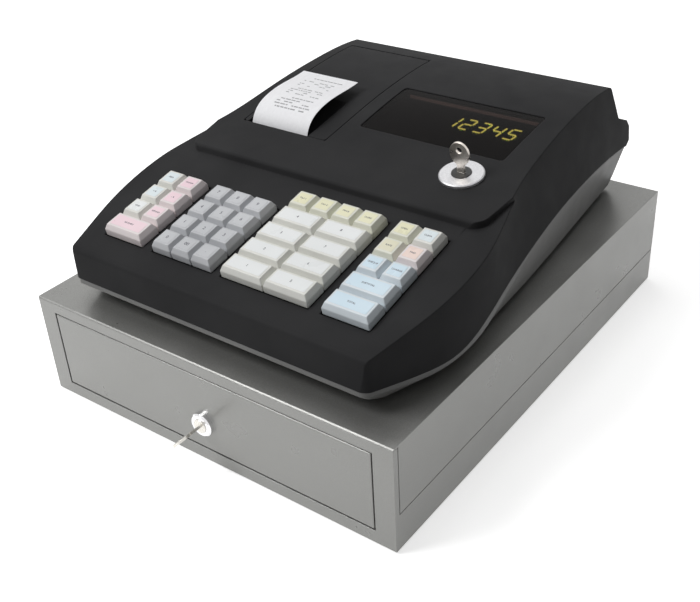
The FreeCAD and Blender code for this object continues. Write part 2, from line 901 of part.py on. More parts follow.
def key_cap(left, front, wide):
    """One key: skirt, tapered top, and a stem with its collar under each column."""
    x0 = left + key_gap / 2.0
    x1 = left + wide * key_pitch_x - key_gap / 2.0
    y0 = front + key_gap / 2.0
    y1 = front + key_pitch_y - key_gap / 2.0
    skirt = box(x0, x1, y0, y1, -key_sink, key_skirt_rise)
    t = key_top_inset
    base = [V(x0, y0, key_skirt_rise), V(x1, y0, key_skirt_rise),
            V(x1, y1, key_skirt_rise), V(x0, y1, key_skirt_rise)]
    top = [V(x0 + t, y0 + t, key_rise), V(x1 - t, y0 + t, key_rise),
           V(x1 - t, y1 - t, key_rise), V(x0 + t, y1 - t, key_rise)]
    pieces = [skirt, tapered_block(base, top)]
    for spot in stem_spots(left, front, wide):
        pieces.append(square_post(spot, key_stem, stem_low, 0.0))
        pieces.append(square_post(spot, key_collar, collar_top - key_collar_thick, collar_top))
    return on_deck(joined(pieces))


def wells():
    """Added floors and cut wells under the key blocks, with a hole for each stem."""
    floors = []
    cuts = []
    for index, (columns, rows) in enumerate(key_blocks):
        x0 = block_left(index) - well_margin
        x1 = x0 + columns * key_pitch_x + 2 * well_margin
        y1 = len(rows) * key_pitch_y + well_margin
        low = -well_depth - well_floor
        floors.append(on_deck(box(x0 - well_floor, x1 + well_floor, -well_margin - well_floor,
                                  y1 + well_floor, low, -cover_wall / 2.0)))
        cuts.append(on_deck(box(x0, x1, -well_margin, y1, -well_depth, 2.0)))
    for name, left, front, wide in key_places():
        for spot in stem_spots(left, front, wide):
            hole = square_post(spot, key_stem + 2 * key_stem_clearance,
                               -well_depth - well_floor - 1.0, 0.0)
            cuts.append(on_deck(hole))
    return floors, cuts


def square_rod(width, low, high, x, y):
    half = width / 2.0
    return box(x - half, x + half, y - half, y + half, low, high)


def keyboard_posts():
    posts = []
    for index in range(len(block_gaps)):
        right = block_left(index) + key_blocks[index][0] * key_pitch_x
        x = right + block_gaps[index] / 2.0
        for v in post_rows:
            posts.append(on_deck(square_rod(post_width, dome_top, -1.0, x, v)))
    return posts


# Printer cover

throat_left = paper_x - paper_width / 2.0 - throat_side
throat_right = paper_x + paper_width / 2.0 + throat_side
throat_rear = lid_front + throat_depth


def lid_plate(side, rear, corner):
    """The lid's outline in plan grown by side, and by rear at its hinge."""
    return rounded_plate(lid_left - side, lid_right + side, lid_front - side, lid_rear + rear,
                         lid_plate_low, crown_level + 20.0, corner)


def lid_hole():
    """The hole in the cover, its corners tight so that the lid's rear edge swings clear."""
    return lid_plate(lid_gap, lid_rear_gap, lid_hole_corner)


def throat_room(drop, reach):
    """Space of the paper throat, its floor let down by drop."""
    return prism_x([
        (lid_front - 1.0, throat_front_level - drop),
        (lid_front + throat_slot, throat_front_level - drop),
        (throat_rear, throat_rear_level - drop),
        (throat_rear + drop, crown_level + 10.0),
        (lid_front - 1.0, crown_level + 10.0),
    ], throat_left - reach, throat_right + reach)


def lid_pin(length, radius, side):
    y, z = lid_hinge
    x = lid_left if side < 0 else lid_right
    return rod(radius, length, V(x, y, z), V(side, 0, 0))


def printer_cover():
    plate = lid_plate(0.0, 0.0, lid_corner)
    lid = skin(0.0, cover_wall).common(plate)
    tray = throat_room(throat_wall, throat_wall).common(cover_form(0.2)).common(plate)
    y, z = lid_hinge
    lugs = []
    for x0 in (lid_left, lid_right - lid_lug_width):
        lug = box(x0, x0 + lid_lug_width, y - lid_lug_depth / 2.0 - 0.5,
                  y + lid_lug_depth / 2.0 - 0.5, z - lid_lug_drop, z + cover_wall)
        lugs.append(lug.common(cover_form(0.2)).common(plate))
    lid = joined([lid, tray] + lugs)
    slot = box(throat_left, throat_right, lid_front - 1.0, lid_front + throat_slot,
               printer_high - 20.0, crown_level)
    lid = lid.cut([throat_room(0.0, 0.0), slot])
    pins = [lid_pin(lid_gap + lid_pin_length, lid_pin_radius, side) for side in (-1, 1)]
    return joined([lid] + pins)


def lid_seat_ring():
    """Rebate under the lid's front and sides, and the ears that hold its pins."""
    around = lid_plate(lid_gap + lid_ledge, lid_rear_gap + lid_ledge_thick, lid_corner)
    inside = lid_plate(-lid_ledge, -lid_ledge, lid_hole_corner)
    under = cover_wall + lid_seat
    upper = skin(cover_wall - 0.5, under + lid_ledge_thick).common(around)
    upper = upper.cut(lid_hole())
    throat = throat_room(throat_wall + lid_seat, throat_wall + lid_gap)
    lower = skin(under, under + lid_ledge_thick).common(around).cut([inside, throat])
    y, z = lid_hinge
    clear = box(lid_left - lid_gap, lid_right + lid_gap, y - lid_lug_depth,
                lid_rear + lid_rear_gap + 5.0, z - 12.0, crown_level)
    ring = joined([upper, lower.cut(clear)])
    ears = []
    for side in (-1, 1):
        near = (lid_left if side < 0 else lid_right) + side * lid_gap
        far = near + side * (lid_pin_length - 0.2)
        ear = box(min(near, far), max(near, far), y - 4.5, y + 5.5, z - 5.0, z + 4.5)
        ears.append(ear.common(cover_form(0.5)))
    return ring, ears


# Display windows

def window_plate(grow):
    return rounded_plate(window_left - grow, window_right + grow, window_front - grow,
                         window_rear + grow, 150.0, crown_level + 10.0, window_corner + grow)


def rear_window_plate(grow):
    return box(rear_window_left - grow, rear_window_right + grow, crest[0] - 30.0,
               crest[0] + 40.0, rear_window_low - grow, rear_window_high + grow)


def display_windows():
    lens = skin(window_recess, window_recess + window_thick)
    return [lens.common(window_plate(0.0)), lens.common(rear_window_plate(0.0))]


def window_seats():
    """Rebates that the two windows are glued on."""
    seat = skin(cover_wall - 0.5, cover_wall + 2.0)
    lower = skin(cover_wall, cover_wall + 2.0)
    rings = []
    for plate in (window_plate, rear_window_plate):
        rings.append(seat.common(plate(window_seat)).cut(plate(window_gap)))
        rings.append(lower.common(plate(window_gap + 0.5)).cut(plate(-window_seat)))
    return rings


window_centre_x = (window_left + window_right) / 2.0
window_centre_y = (window_front + window_rear) / 2.0
tube_top = -cover_wall - 2.0 - tube_drop
tube_half_x = (window_right - window_left) / 2.0 - tube_margin
tube_half_y = (window_rear - window_front) / 2.0 - tube_margin
display_half_x = (window_right - window_left) / 2.0 + display_board_margin
display_half_y = (window_rear - window_front) / 2.0 + display_board_margin


def under_window(shape):
    z, slope = console_at(window_centre_y)
    piece = seated(shape, window_centre_y, z, slope)
    piece.translate(V(window_centre_x, 0, 0))
    return piece


rear_centre_x = (rear_window_left + rear_window_right) / 2.0
slope_run = slope_foot[0] - crest[0]
slope_fall = crest[1] - slope_foot[1]
rear_slope = math.degrees(math.atan2(slope_fall, slope_run))
rear_centre_z = (rear_window_low + rear_window_high) / 2.0
rear_centre_y = crest[0] + slope_run * (crest[1] - rear_centre_z) / slope_fall
rear_half_x = (rear_window_right - rear_window_left) / 2.0
rear_half_y = (rear_window_high - rear_window_low) / 2.0


def behind_rear_window(shape):
    piece = seated(shape, rear_centre_y, rear_centre_z, -rear_slope)
    piece.translate(V(rear_centre_x, 0, 0))
    return piece


def display_posts():
    posts = []
    for sx in (-1, 1):
        for sy in (-1, 1):
            posts.append(under_window(square_rod(post_width, tube_top - tube_thick, 0.0,
                                                 sx * (display_half_x - 4.0),
                                                 sy * (display_half_y - 4.0))))
        posts.append(behind_rear_window(square_rod(post_width, tube_top - tube_thick, 0.0,
                                                   sx * (rear_half_x + rear_board_margin - 3.0),
                                                   0.0)))
    return posts


# Cover

def screw_posts(low, high):
    return [square_rod(screw_post_width, low, high, side * x, y)
            for x, y in screw_post_spots for side in (-1, 1)]


def mode_lock_hole(radius):
    z, slope = console_at(mode_lock_y)
    hole = seated(rod(radius, 40.0, V(0, 0, -20.0), V(0, 0, 1)), mode_lock_y, z, slope)
    hole.translate(V(mode_lock_x, 0, 0))
    return hole


def top_cover():
    form = rounded_form()
    cover = form.cut(cover_form(cover_wall, rim_opening))
    inner_limit = cover_form(cover_wall / 2.0, rim_opening)
    floors, cuts = wells()
    posts = screw_posts(screw_post_level, crown_level)
    posts += keyboard_posts() + display_posts()
    ring, ears = lid_seat_ring()
    added = [part.common(inner_limit) for part in floors + posts]
    openings = [lid_hole(), window_plate(window_gap),
                rear_window_plate(window_gap),
                mode_lock_hole(mode_barrel_radius + lock_hole_clearance)]
    cover = cover.cut(openings)
    cover = fused([cover] + added + [ring] + ears + window_seats())
    pin_room = lid_gap + lid_pin_length + lid_pin_clearance
    pin_holes = [lid_pin(pin_room, lid_pin_radius + lid_pin_clearance, side) for side in (-1, 1)]
    return cover.cut(cuts + pin_holes)


# Base tub

def rim_height(y):
    """Height of the cover's rim at y, between the points it was drawn through."""
    line = [front_foot] + rim_line[::-1] + [ledge_under, ledge_low]
    for (y0, z0), (y1, z1) in zip(line, line[1:]):
        if y <= y1:
            break
    return z0 + (z1 - z0) * (y - y0) / (y1 - y0)


def tub_widths():
    """Half widths of the tub at its foot and, carried on upward, at the level of its top."""
    foot = []
    top = []
    for y, rim_width, crown_width in side_stations:
        height = rim_height(y)
        draft = (crown_width - rim_width) / (crown_level - rim_level)
        width = rim_width + draft * (height - rim_level) - tub_rim_inset
        foot_width = rim_width - tub_foot_inset
        flare = (width - foot_width) / (height - tub_band - tub_floor_level)
        foot.append(foot_width)
        top.append(foot_width + flare * (tub_hull_top - tub_floor_level))
    return foot, top


def hull_below(inset):
    """The cover's plan carried straight down from its rim round the tub."""
    lower = drafted_hull(rim_widths, rim_widths, tub_floor_level - 2.0, rim_level, inset)
    return lower.fuse(cover_hull(inset))


def tub_form(inset, open_above):
    """Flared lower part of the tub and the upright band under the cover's rim."""
    foot, top = tub_widths()
    flared = drafted_hull(foot, top, tub_floor_level - 1.0, tub_hull_top, inset)
    rim = [(y, z - tub_rim_gap) for y, z in [ledge_under] + rim_line + [front_foot]]
    points = [tub_front_rim, tub_front_foot, tub_rear_foot, tub_rear_knee] + rim
    points[-1] = (tub_front_rim[0], points[-1][1])
    if inset:
        points = pulled_in(list(reversed(points)), inset)
        points = list(reversed(points))
    points = [(y, z + open_above) if i >= 4 else (y, z) for i, (y, z) in enumerate(points)]
    wire = mixed_wire(points, [(4, len(points) - 1)], -relief_outside)
    side_view = Part.Face(wire).extrude(V(2 * relief_outside, 0, 0))
    return flared.common(side_view).common(hull_below(inset + tub_rim_inset))


def base_tub():
    tub = tub_form(0.0, 0.0).cut(tub_form(tub_wall, 10.0))
    floor = tub_floor_level + tub_wall / 2.0
    bosses = screw_posts(floor, screw_post_level)
    for x, y in printer_leg_spots():
        bosses.append(square_rod(standoff_width, floor, printer_low, x, y))
    for x, y in board_leg_spots():
        bosses.append(square_rod(standoff_width, floor, main_board_level, x, y))
    limit = tub_form(tub_wall / 2.0, 10.0)
    return joined([tub] + [boss.common(limit) for boss in bosses])


# Boards inside the register

def printer_leg_spots():
    xs = (paper_x - printer_half_width + 4.0, paper_x + printer_half_width - 4.0)
    return [(x, y) for x in xs for y in (printer_front + 8.0, roll_y - 2.0)]


def board_leg_spots():
    x0, x1, y0, y1 = main_board_box
    return [(x, y) for x in (x0 + 5.0, x1 - 5.0) for y in (y0 + 5.0, y1 - 5.0)]


def circuit_boards():
    """Keyboard board with its dome sheet, main board with transformer, display boards."""
    half = keyboard_half
    rear = keyboard_rear
    domes = box(-half, half, -2.0, rear, board_top, dome_top)
    keyboard = box(-half, half, -2.0, rear, board_top - board_thick, board_top)
    x0, x1, y0, y1 = main_board_box
    level = main_board_level
    main = box(x0, x1, y0, y1, level, level + board_thick)
    tx0, tx1, ty0, ty1 = transformer_box
    seat = level + board_thick
    core = box(tx0, tx1, ty0 + 6.0, ty1 - 6.0, seat, seat + transformer_height)
    bobbin = rounded_plate(tx0 + 9.0, tx1 - 9.0, ty0, ty1, seat + 8.0,
                           seat + transformer_height - 8.0, 4.0)
    low = tube_top - tube_thick
    tube = box(-tube_half_x, tube_half_x, -tube_half_y, tube_half_y, low, tube_top)
    display = box(-display_half_x, display_half_x, -display_half_y, display_half_y,
                  low - board_thick, low)
    rear_x = rear_half_x - rear_tube_margin
    rear_y = rear_half_y - 1.0
    rear_tube = box(-rear_x, rear_x, -rear_y, rear_y, low, tube_top)
    board_x = rear_half_x + rear_board_margin
    rear_board = box(-board_x, board_x, -rear_half_y, rear_half_y, low - board_thick, low)
    return [on_deck(domes), on_deck(keyboard), main, joined([core, bobbin]),
            under_window(tube), under_window(display),
            behind_rear_window(rear_tube), behind_rear_window(rear_board)]


# Mode lock

def at_mode_lock(shape):
    z, slope = console_at(mode_lock_y)
    piece = seated(shape, mode_lock_y, z, slope)
    piece.translate(V(mode_lock_x, 0, 0))
    return piece


mode_face = mode_ring_rise + plug_rise


def mode_lock():
    ring = rod(mode_ring_radius, mode_ring_rise - mode_ring_seat, V(0, 0, mode_ring_seat),
               V(0, 0, 1))
    ring = ring.makeChamfer(mode_ring_bevel, [
        e for e in ring.Edges if abs(e.CenterOfMass.z - mode_ring_rise) < 0.01])
    barrel = rod(mode_barrel_radius, mode_barrel_length + mode_ring_seat,
                 V(0, 0, -mode_barrel_length), V(0, 0, 1))
    nut = hexagon(mode_nut_radius, mode_nut_thick, V(0, 0, -cover_wall - 0.3 - mode_nut_thick),
                  V(0, 0, 1))
    bore = rod(mode_plug_radius + plug_clearance, mode_barrel_length + mode_ring_rise + 2.0,
               V(0, 0, -mode_barrel_length - 1.0), V(0, 0, 1))
    return at_mode_lock(joined([ring, barrel, nut]).cut(bore))


def mode_key():
    """Plug and key of the mode lock, which turn as one."""
    plug = rod(mode_plug_radius, mode_barrel_length + mode_face, V(0, 0, -mode_barrel_length),
               V(0, 0, 1))
    key = flat_key(mode_key_blade_width, mode_key_bow_width, mode_key_bow_length, mode_key_rise,
                   mode_key_thick, key_bow_hole)
    key.translate(V(0, 0, mode_face))
    return at_mode_lock(joined([plug, key]))


# Printer, roll and receipt

def printer_mechanism():
    """Side plates, base, head, guide bar, motor and the arms of the roll spindle."""
    half = printer_half_width
    arm0 = roll_y - spindle_arm_width / 2.0
    arm1 = roll_y + spindle_arm_width / 2.0
    outline = [(printer_front, printer_low), (arm1, printer_low), (arm1, roll_z + 8.0),
               (arm0, roll_z + 8.0), (arm0, printer_low + 6.0), (printer_rear, printer_low + 6.0),
               (printer_rear - 4.0, printer_low + 26.0), (platen_y + 11.0, printer_high),
               (platen_y - 11.0, printer_high), (printer_front, printer_high - 16.0)]
    left = prism_x(outline, paper_x - half - printer_plate, paper_x - half)
    right = prism_x(outline, paper_x + half, paper_x + half + printer_plate)
    base = box(paper_x - half, paper_x + half, printer_front, arm1, printer_low,
               printer_low + printer_plate)
    across = 2 * half
    x0 = paper_x - half
    spindle = rod(spindle_radius, across, V(x0, roll_y, roll_z), V(1, 0, 0))
    guide = rod(1.6, across, V(x0, printer_front + 6.0, platen_z - 16.0), V(1, 0, 0))
    head = box(paper_x - head_width / 2.0, paper_x + head_width / 2.0, printer_front + 1.5,
               platen_y - platen_radius - 2.0, platen_z - 22.0, platen_z + 3.0)
    motor = rod(motor_radius, 30.0, V(x0, printer_rear - 18.0, printer_low + motor_radius + 4.0),
                V(1, 0, 0))
    frame = joined([left, right, base, spindle, guide, head, motor])
    bore = rod(platen_shaft_radius + shaft_clearance, across + 2 * printer_plate + 2.0,
               V(x0 - printer_plate - 1.0, platen_y, platen_z), V(1, 0, 0))
    return frame.cut(bore)


def gear_blank(radius, teeth, width, x, y, z):
    """Spur gear about the X axis: a toothed outline from alternating radii."""
    corners = []
    root = radius - 1.6
    for i in range(teeth):
        for share, reach in ((0.0, root), (0.25, root), (0.4, radius), (0.85, radius)):
            angle = 2 * math.pi * (i + share) / teeth
            corners.append((y + reach * math.cos(angle), z + reach * math.sin(angle)))
    return prism_x(corners, x, x + width)


def platen_roller():
    half = printer_half_width
    rubber = rod(platen_radius, 2 * platen_half, V(paper_x - platen_half, platen_y, platen_z),
                 V(1, 0, 0))
    gear_x = paper_x + half + printer_plate + 0.4
    start = paper_x - half - printer_plate - 1.0
    shaft = rod(platen_shaft_radius, gear_x + platen_gear_width - start,
                V(start, platen_y, platen_z), V(1, 0, 0))
    gear = gear_blank(platen_gear_radius, platen_gear_teeth, platen_gear_width, gear_x,
                      platen_y, platen_z)
    return joined([rubber, shaft, gear])


def paper_roll():
    x0 = paper_x - paper_width / 2.0
    roll = rod(roll_radius, paper_width, V(x0, roll_y, roll_z), V(1, 0, 0))
    return roll.cut(rod(roll_core_radius, paper_width + 2.0, V(x0 - 1.0, roll_y, roll_z),
                        V(1, 0, 0)))


def receipt_paper():
    """Strip that stands up out of the throat and curls back over the printer cover."""
    line = [receipt_low, receipt_foot] + receipt_line + [receipt_tail]
    x0 = paper_x - paper_width / 2.0
    back = []
    for i, (y, z) in enumerate(line):
        before = line[max(i - 1, 0)]
        after = line[min(i + 1, len(line) - 1)]
        angle = math.atan2(after[1] - before[1], after[0] - before[0])
        back.append((y + paper_thick * math.sin(angle), z - paper_thick * math.cos(angle)))
    edges = []
    for points in (line, list(reversed(back))):
        curve = Part.BSplineCurve()
        curve.interpolate([V(x0, y, z) for y, z in points])
        edges.append(curve.toShape())
    ends = [(line[-1], back[-1]), (back[0], line[0])]
    caps = [Part.makeLine(V(x0, a[0], a[1]), V(x0, b[0], b[1])) for a, b in ends]
    wire = Part.Wire([edges[0], caps[0], edges[1], caps[1]])
    return Part.Face(wire).extrude(V(paper_width, 0, 0))


# Write every node

def write_all():
    keep("rubber_feet", rubber_feet())
    keep("cabinet_chassis", cabinet_chassis())
    keep("cabinet_cover", cabinet_cover())
    keep("drawer_front", drawer_front())
    keep("drawer_tray", drawer_tray())
    keep("till_insert", till_insert())
    keep("drawer_lock", drawer_lock())
    keep("drawer_key", drawer_key())
    keep("drawer_latch", drawer_latch())
    keep("latch_hook", latch_hook())
    keep("base_tub", base_tub())
    keep("top_cover", top_cover())
    keep("printer_cover", printer_cover())
    keep("display_windows", display_windows())
    keep("circuit_boards", circuit_boards())
    keep("mode_lock", mode_lock())
    keep("mode_key", mode_key())
    keep("printer_mechanism", printer_mechanism())
    keep("platen_roller", platen_roller())
    keep("paper_roll", paper_roll())
    keep("receipt_paper", receipt_paper())
    for name, left, front, wide in key_places():
        keep("key_" + name, key_cap(left, front, wide))


write_all()
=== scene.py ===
import json
import math
import random
import bmesh
import bpy
from mathutils import Matrix, Vector
from mathutils.bvhtree import BVHTree


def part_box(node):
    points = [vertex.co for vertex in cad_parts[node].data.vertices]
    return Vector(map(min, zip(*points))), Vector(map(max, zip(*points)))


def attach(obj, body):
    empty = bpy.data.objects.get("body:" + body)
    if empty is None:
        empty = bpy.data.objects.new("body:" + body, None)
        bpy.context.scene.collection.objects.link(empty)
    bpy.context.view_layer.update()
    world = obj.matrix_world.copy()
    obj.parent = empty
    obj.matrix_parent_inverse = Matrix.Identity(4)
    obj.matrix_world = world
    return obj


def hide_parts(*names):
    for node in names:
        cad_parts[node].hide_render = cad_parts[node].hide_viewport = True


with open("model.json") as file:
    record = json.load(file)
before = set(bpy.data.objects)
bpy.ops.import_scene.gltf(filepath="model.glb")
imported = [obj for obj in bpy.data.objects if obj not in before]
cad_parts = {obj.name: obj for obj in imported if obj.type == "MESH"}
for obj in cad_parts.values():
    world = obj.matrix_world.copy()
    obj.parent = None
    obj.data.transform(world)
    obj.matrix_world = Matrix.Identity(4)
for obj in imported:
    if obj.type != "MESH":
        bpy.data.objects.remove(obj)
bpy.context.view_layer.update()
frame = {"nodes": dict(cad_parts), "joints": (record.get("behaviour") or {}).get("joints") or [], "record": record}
nodes = frame["nodes"]
record = frame["record"]

# Camera, fitted to the edges of the cabinet and the cover in the photograph
camera_azimuth = math.radians(38.237)
camera_elevation = math.radians(32.532)
camera_roll = math.radians(-3.425)
camera_distance = 0.8914
camera_right = -0.0107
camera_up = 0.0299
focal_pixels = 1047.38
image_width = 700.0
sensor_width = 36.0

# Directions of the keyboard deck: up from it, to the right and to the back along it
press = Vector(next(j for j in frame["joints"] if j["name"] == "key_5_press")["axis"])
deck_up = -press.normalized()
deck_right = Vector((1, 0, 0))
deck_back = deck_up.cross(deck_right)


def make_camera():
    """The camera at the photograph's place, turned by its roll."""
    back = Vector((math.sin(camera_azimuth) * math.cos(camera_elevation),
                   -math.cos(camera_azimuth) * math.cos(camera_elevation),
                   math.sin(camera_elevation)))
    right = Vector((math.cos(camera_azimuth), math.sin(camera_azimuth), 0.0))
    up = back.cross(right)
    turned_right = math.cos(camera_roll) * right + math.sin(camera_roll) * up
    turned_up = -math.sin(camera_roll) * right + math.cos(camera_roll) * up
    data = bpy.data.cameras.new("camera")
    data.sensor_width = sensor_width
    data.lens = focal_pixels / image_width * sensor_width
    camera = bpy.data.objects.new("camera", data)
    turn = Matrix((turned_right, turned_up, back)).transposed().to_4x4()
    place = back * camera_distance + turned_right * camera_right + turned_up * camera_up
    camera.matrix_world = Matrix.Translation(place) @ turn
    bpy.context.collection.objects.link(camera)
    bpy.context.scene.camera = camera


# Materials

class Shader:
    """One procedural material and short ways to add nodes to it."""

    def __init__(self, name, color, rough, metal=0.0):
        self.material = bpy.data.materials.new(name)
        self.material.use_nodes = True
        self.tree = self.material.node_tree
        self.bsdf = self.tree.nodes["Principled BSDF"]
        self.bsdf.inputs["Base Color"].default_value = (*color, 1.0)
        self.bsdf.inputs["Roughness"].default_value = rough
        self.bsdf.inputs["Metallic"].default_value = metal
        self.place = self.node("ShaderNodeTexCoord").outputs["Object"]

    def node(self, kind, **values):
        made = self.tree.nodes.new(kind)
        for key, value in values.items():
            setattr(made, key, value)
        return made

    def link(self, a, b):
        self.tree.links.new(a, b)

    def noise(self, scale, detail=2.0, rough=0.5, stretch=None):
        made = self.node("ShaderNodeTexNoise")
        made.inputs["Scale"].default_value = scale
        made.inputs["Detail"].default_value = detail
        made.inputs["Roughness"].default_value = rough
        place = self.place
        if stretch:
            scaled = self.node("ShaderNodeMapping")
            scaled.inputs["Scale"].default_value = stretch
            self.link(place, scaled.inputs["Vector"])
            place = scaled.outputs["Vector"]
        self.link(place, made.inputs["Vector"])
        return made.outputs["Fac"]

    def spread(self, value, low, high, start=0.3, end=0.7):
        made = self.node("ShaderNodeMapRange")
        made.inputs["From Min"].default_value = start
        made.inputs["From Max"].default_value = end
        made.inputs["To Min"].default_value = low
        made.inputs["To Max"].default_value = high
        self.link(value, made.inputs["Value"])
        return made.outputs["Result"]

    def mix(self, factor, first, second):
        made = self.node("ShaderNodeMix", data_type="RGBA")
        self.link(factor, made.inputs["Factor"])
        for socket, color in (("A", first), ("B", second)):
            target = next(i for i in made.inputs if i.name == socket and i.type == "RGBA")
            target.default_value = (*color, 1.0)
        return next(o for o in made.outputs if o.type == "RGBA")

    def surface(self, height, distance, strength, edge):
        """Fine relief, over edges softened by the given radius."""
        soft = self.node("ShaderNodeBevel", samples=6)
        soft.inputs["Radius"].default_value = edge
        bump = self.node("ShaderNodeBump")
        bump.inputs["Distance"].default_value = distance
        bump.inputs["Strength"].default_value = strength
        self.link(height, bump.inputs["Height"])
        self.link(soft.outputs["Normal"], bump.inputs["Normal"])
        self.link(bump.outputs["Normal"], self.bsdf.inputs["Normal"])


def moulded(name, dark, light, rough, edge=0.0006, shine=0.5):
    """Moulded plastic with a fine spark-eroded grain and slight unevenness of colour and gloss."""
    s = Shader(name, light, rough)
    s.bsdf.inputs["Specular IOR Level"].default_value = shine
    cloud = s.noise(scale=14.0, detail=3.0)
    gloss = s.noise(scale=60.0, detail=4.0)
    grain = s.noise(scale=2600.0, detail=2.0)
    s.link(s.mix(s.spread(cloud, 0.0, 1.0), dark, light), s.bsdf.inputs["Base Color"])
    s.link(s.spread(gloss, rough - 0.04, rough + 0.04), s.bsdf.inputs["Roughness"])
    s.surface(grain, distance=0.00005, strength=0.35, edge=edge)
    return s.material


def paint(name, dark, light, rough):
    """Silver-grey paint: fine metallic flakes under a satin surface with orange peel."""
    s = Shader(name, light, rough, metal=0.55)
    flakes = s.noise(scale=3800.0, detail=1.0)
    gloss = s.noise(scale=35.0, detail=3.0)
    peel = s.noise(scale=900.0, detail=2.0)
    s.link(s.mix(s.spread(flakes, 0.0, 1.0, start=0.35, end=0.65), dark, light),
           s.bsdf.inputs["Base Color"])
    s.link(s.spread(gloss, rough - 0.03, rough + 0.05), s.bsdf.inputs["Roughness"])
    s.surface(peel, distance=0.00003, strength=0.25, edge=0.0007)
    return s.material


def metal(name, dark, light, rough, stretch=(1.0, 1.0, 1.0)):
    """Plated or ground metal with faint lines and handling marks."""
    s = Shader(name, light, rough, metal=1.0)
    lines = s.noise(scale=900.0, detail=3.0, rough=0.6, stretch=stretch)
    marks = s.noise(scale=120.0, detail=4.0)
    s.link(s.mix(s.spread(lines, 0.0, 1.0), dark, light), s.bsdf.inputs["Base Color"])
    s.link(s.spread(marks, rough - 0.05, rough + 0.08), s.bsdf.inputs["Roughness"])
    s.surface(lines, distance=0.00001, strength=0.2, edge=0.0004)
    return s.material


def rubber(name, dark, light):
    """Matt rubber with a bloom of uneven grey."""
    s = Shader(name, light, rough=0.75)
    bloom = s.noise(scale=80.0, detail=4.0)
    grain = s.noise(scale=1500.0, detail=3.0)
    s.link(s.mix(s.spread(bloom, 0.0, 1.0), dark, light), s.bsdf.inputs["Base Color"])
    s.surface(grain, distance=0.00006, strength=0.5, edge=0.0005)
    return s.material


def paper(name, color):
    """Receipt paper with fibres that run along the strip."""
    s = Shader(name, color, rough=0.6)
    fibre_shade = tuple(c * 0.93 for c in color)
    fibre = s.noise(scale=420.0, detail=5.0, rough=0.7, stretch=(1.0, 0.35, 1.0))
    tooth = s.noise(scale=2500.0, detail=3.0)
    s.link(s.mix(s.spread(fibre, 0.0, 1.0), fibre_shade, color), s.bsdf.inputs["Base Color"])
    s.surface(tooth, distance=0.00002, strength=0.3, edge=0.0001)
    return s.material


def smoked_lens(name):
    """Smoked acrylic: dark brown, clear enough for the lit digits behind it."""
    s = Shader(name, (0.022, 0.013, 0.011), rough=0.06)
    ripple = s.noise(scale=30.0, detail=2.0)
    wipe_marks = s.noise(scale=90.0, detail=3.0)
    s.bsdf.inputs["Transmission Weight"].default_value = 0.92
    s.bsdf.inputs["IOR"].default_value = 1.12
    s.surface(ripple, distance=0.00002, strength=0.15, edge=0.0004)
    s.link(s.spread(wipe_marks, 0.04, 0.09), s.bsdf.inputs["Roughness"])
    return s.material


def board(name):
    """Green circuit board with a pattern of square pads."""
    dark, light = (0.01, 0.09, 0.03), (0.03, 0.2, 0.07)
    s = Shader(name, (0.02, 0.14, 0.05), rough=0.4)
    cells = s.node("ShaderNodeTexVoronoi", feature="F1", distance="CHEBYCHEV")
    cells.inputs["Scale"].default_value = 260.0
    s.link(s.place, cells.inputs["Vector"])
    pads = cells.outputs["Distance"]
    s.link(s.mix(s.spread(pads, 0.0, 1.0, start=0.2, end=0.5), dark, light),
           s.bsdf.inputs["Base Color"])
    s.surface(pads, distance=0.0001, strength=0.3, edge=0.0003)
    return s.material


def glowing(name, color, strength):
    s = Shader(name, color, rough=0.4)
    s.bsdf.inputs["Emission Color"].default_value = (*color, 1.0)
    s.bsdf.inputs["Emission Strength"].default_value = strength
    return s.material


